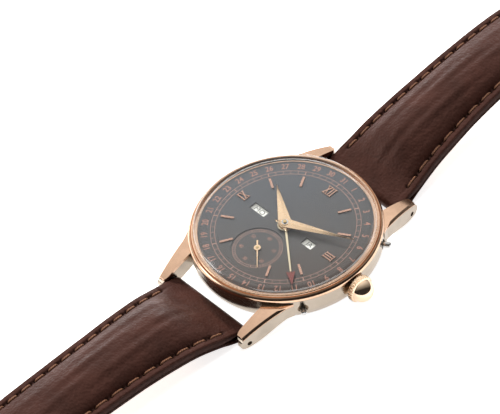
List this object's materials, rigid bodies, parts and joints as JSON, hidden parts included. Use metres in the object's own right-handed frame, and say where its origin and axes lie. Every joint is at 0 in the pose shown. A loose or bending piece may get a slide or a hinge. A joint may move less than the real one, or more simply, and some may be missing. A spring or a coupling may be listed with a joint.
{
  "type": "triple-calendar wristwatch",
  "caption": "Round two-tone wristwatch with pointer date, day and month windows, small seconds and a padded leather strap, laid open; hand-wound works inside.",
  "frame": {"origin": "centre of the case back's outer face, on the surface the watch lies on", "axes": "+X to three o'clock and the crown, +Y to twelve o'clock along the strap, +Z out of the dial"},
  "size_m": [0.0379, 0.2347, 0.0106],
  "materials": {
    "rose_gold": "polished rose gold cap",
    "case_steel": "polished and brushed steel",
    "crystal": "clear domed acrylic",
    "back_steel": "brushed steel",
    "seal": "black rubber",
    "ring_brass": "turned brass",
    "dial": "anthracite satin lacquer",
    "marker_gold": "polished rose gold",
    "hand_gold": "polished pale gold",
    "date_hand": "cream lacquer with a red head",
    "crown_gold": "polished gold",
    "steel": "polished steel",
    "blued_steel": "heat-blued steel",
    "plate": "nickel-plated brass with fine stripes",
    "wheel_brass": "gilt brass",
    "jewel": "ruby",
    "disc": "white lacquer",
    "leather": "dark brown padded calf",
    "lining": "tan lining leather",
    "buckle_gold": "polished rose gold"
  },
  "bodies": {
    "case": {"mid_case": "case_steel", "lug_caps": "rose_gold", "bezel": "rose_gold", "crystal": "crystal", "case_back": "back_steel", "case_back_gasket": "seal", "movement_ring": "ring_brass", "dial": "dial", "hour_markers": "marker_gold", "spring_bars": "steel", "main_plate": "plate", "barrel_bridge": "plate", "train_bridge": "plate", "pallet_bridge": "plate", "balance_cock": "plate", "calendar_plate": "plate", "jewels": "jewel", "bridge_screws": "blued_steel", "hairspring": "blued_steel"},
    "fourth": {"fourth_wheel": "wheel_brass", "seconds_hand": "hand_gold"},
    "third": {"third_wheel": "wheel_brass"},
    "escape": {"escape_wheel": "steel"},
    "centre": {"centre_wheel": "wheel_brass", "cannon_pinion": "steel", "minute_hand": "hand_gold"},
    "hour": {"hour_wheel": "wheel_brass", "hour_hand": "hand_gold"},
    "barrel": {"barrel_drum": "wheel_brass", "mainspring": "steel"},
    "minute_work": {"minute_wheel": "wheel_brass"},
    "setting_work": {"setting_wheel": "steel"},
    "day_drive": {"calendar_drive_wheel": "wheel_brass"},
    "pallets": {"pallet_fork": "steel"},
    "balance": {"balance_wheel": "wheel_brass"},
    "date": {"date_wheel": "wheel_brass", "date_hand": "date_hand"},
    "day": {"day_disc": "disc"},
    "month": {"month_disc": "disc"},
    "winding": {"winding_pinion": "steel"},
    "stem": {"crown": "crown_gold", "winding_stem": "steel"},
    "slider": {"sliding_pinion": "steel"},
    "crown_train": {"crown_wheel": "steel"},
    "ratchet": {"ratchet_wheel": "steel", "barrel_arbor": "steel"},
    "click": {"click": "steel"},
    "setting_arm": {"setting_lever": "steel"},
    "yoke_arm": {"yoke": "steel"},
    "month_push": {"month_corrector": "steel"},
    "day_push": {"day_corrector": "steel"},
    "strap_6": {"strap_long": "leather", "strap_long_lining": "lining"},
    "strap_12": {"strap_short": "leather", "strap_short_lining": "lining", "fixed_keeper": "leather", "buckle_bar": "steel"},
    "keeper": {"free_keeper": "leather"},
    "buckle": {"buckle_frame": "buckle_gold"},
    "tongue": {"buckle_tongue": "buckle_gold"}
  },
  "joints": [
    {"name": "seconds", "type": "hinge", "parent": "case", "child": "fourth", "pos_m": [0, -0.0068, 0.003], "axis": [0, 0, 1], "continuous": true},
    {"name": "third_turn", "type": "hinge", "parent": "case", "child": "third", "pos_m": [-0.00246, -0.00355, 0.003], "axis": [0, 0, 1], "continuous": true},
    {"name": "escape_turn", "type": "hinge", "parent": "case", "child": "escape", "pos_m": [-0.0035, -0.00786, 0.003], "axis": [0, 0, 1], "continuous": true},
    {"name": "minute", "type": "hinge", "parent": "case", "child": "centre", "pos_m": [0, 0, 0.003], "axis": [0, 0, 1], "continuous": true},
    {"name": "hour", "type": "hinge", "parent": "case", "child": "hour", "pos_m": [0, 0, 0.005], "axis": [0, 0, 1], "continuous": true},
    {"name": "barrel_turn", "type": "hinge", "parent": "case", "child": "barrel", "pos_m": [0.0032, 0.00543, 0.0033], "axis": [0, 0, 1], "continuous": true},
    {"name": "minute_wheel_turn", "type": "hinge", "parent": "case", "child": "minute_work", "pos_m": [0.00235, -0.00051, 0.0047], "axis": [0, 0, 1], "continuous": true},
    {"name": "setting_wheel_turn", "type": "hinge", "parent": "case", "child": "setting_work", "pos_m": [0.0051, 0, 0.0047], "axis": [0, 0, 1], "continuous": true},
    {"name": "day_drive_turn", "type": "hinge", "parent": "case", "child": "day_drive", "pos_m": [0, 0.00576, 0.005], "axis": [0, 0, 1], "continuous": true},
    {"name": "pallet_rock", "type": "hinge", "parent": "case", "child": "pallets", "pos_m": [-0.0059, -0.0065, 0.0033], "axis": [0, 0, 1], "range_deg": [-5, 5]},
    {"name": "balance_swing", "type": "hinge", "parent": "case", "child": "balance", "pos_m": [-0.0083, -0.0026, 0.0029], "axis": [0, 0, 1], "range_deg": [-270, 270], "stiffness_Nm_per_rad": 0.00000012, "deforming": ["hairspring"]},
    {"name": "date_turn", "type": "hinge", "parent": "case", "child": "date", "pos_m": [0, 0, 0.0056], "axis": [0, 0, 1], "continuous": true},
    {"name": "day_turn", "type": "hinge", "parent": "case", "child": "day", "pos_m": [-0.0062, 0.0041, 0.0059], "axis": [0, 0, 1], "continuous": true},
    {"name": "month_turn", "type": "hinge", "parent": "case", "child": "month", "pos_m": [0.0059, 0.0044, 0.0059], "axis": [0, 0, 1], "continuous": true},
    {"name": "crown_turn", "type": "hinge", "parent": "case", "child": "winding", "pos_m": [0.0085, 0, 0.00385], "axis": [1, 0, 0], "continuous": true},
    {"name": "crown_pull", "type": "slide", "parent": "winding", "child": "stem", "axis": [1, 0, 0], "range_m": [0, 0.001]},
    {"name": "slider_shift", "type": "slide", "parent": "winding", "child": "slider", "axis": [1, 0, 0], "range_m": [-0.0005, 0]},
    {"name": "crown_wheel_turn", "type": "hinge", "parent": "case", "child": "crown_train", "pos_m": [0.0062, 0, 0.0017], "axis": [0, 0, 1], "continuous": true},
    {"name": "ratchet_turn", "type": "hinge", "parent": "case", "child": "ratchet", "pos_m": [0.0032, 0.00543, 0.0014], "axis": [0, 0, 1], "continuous": true},
    {"name": "click_swing", "type": "hinge", "parent": "case", "child": "click", "pos_m": [-0.0009, 0.0086, 0.0014], "axis": [0, 0, 1], "range_deg": [-8, 2], "stiffness_Nm_per_rad": 0.00001},
    {"name": "setting_lever_swing", "type": "hinge", "parent": "case", "child": "setting_arm", "pos_m": [0.0102, -0.0026, 0.0047], "axis": [0, 0, 1], "range_deg": [-24, 0]},
    {"name": "yoke_swing", "type": "hinge", "parent": "case", "child": "yoke_arm", "pos_m": [0.0063, -0.0039, 0.0047], "axis": [0, 0, 1], "range_deg": [0, 9]},
    {"name": "month_corrector_push", "type": "slide", "parent": "case", "child": "month_push", "axis": [-0.8241, -0.5664, 0], "range_m": [0, 0.0008], "stiffness_N_per_m": 150, "springref_m": -0.0002},
    {"name": "day_corrector_push", "type": "slide", "parent": "case", "child": "day_push", "axis": [-0.8241, 0.5664, 0], "range_m": [0, 0.0008], "stiffness_N_per_m": 150, "springref_m": -0.0002},
    {"name": "strap_6_swing", "type": "hinge", "parent": "case", "child": "strap_6", "pos_m": [0, -0.0198, 0.0014], "axis": [1, 0, 0], "range_deg": [-35, 75]},
    {"name": "strap_12_swing", "type": "hinge", "parent": "case", "child": "strap_12", "pos_m": [0, 0.0198, 0.0014], "axis": [1, 0, 0], "range_deg": [-75, 35]},
    {"name": "free_keeper_slide", "type": "slide", "parent": "strap_12", "child": "keeper", "axis": [0, 0.9678, -0.2516], "range_m": [-0.003, 0.002]},
    {"name": "buckle_swing", "type": "hinge", "parent": "strap_12", "child": "buckle", "pos_m": [0, 0.092, 0.0014], "axis": [1, 0, 0], "range_deg": [-90, 20]},
    {"name": "tongue_swing", "type": "hinge", "parent": "buckle", "child": "tongue", "pos_m": [0, 0.092, 0.0014], "axis": [1, 0, 0], "range_deg": [0, 70]}
  ],
  "couplings": [
    {"joint": "third_turn", "follows": "seconds", "ratio": -0.13333},
    {"joint": "escape_turn", "follows": "seconds", "ratio": -10},
    {"joint": "minute", "follows": "seconds", "ratio": 0.016667},
    {"joint": "hour", "follows": "seconds", "ratio": 0.0013889},
    {"joint": "barrel_turn", "follows": "seconds", "ratio": -0.0027778},
    {"joint": "minute_wheel_turn", "follows": "seconds", "ratio": -0.0055556},
    {"joint": "setting_wheel_turn", "follows": "seconds", "ratio": 0.01},
    {"joint": "day_drive_turn", "follows": "seconds", "ratio": -0.00069444},
    {"joint": "crown_wheel_turn", "follows": "crown_turn", "ratio": 0.61538},
    {"joint": "ratchet_turn", "follows": "crown_turn", "ratio": -0.44444},
    {"joint": "slider_shift", "follows": "crown_pull", "ratio": -0.5},
    {"joint": "setting_lever_swing", "follows": "crown_pull", "rad_per_m": -375.25},
    {"joint": "yoke_swing", "follows": "crown_pull", "rad_per_m": 128.28}
  ]
}
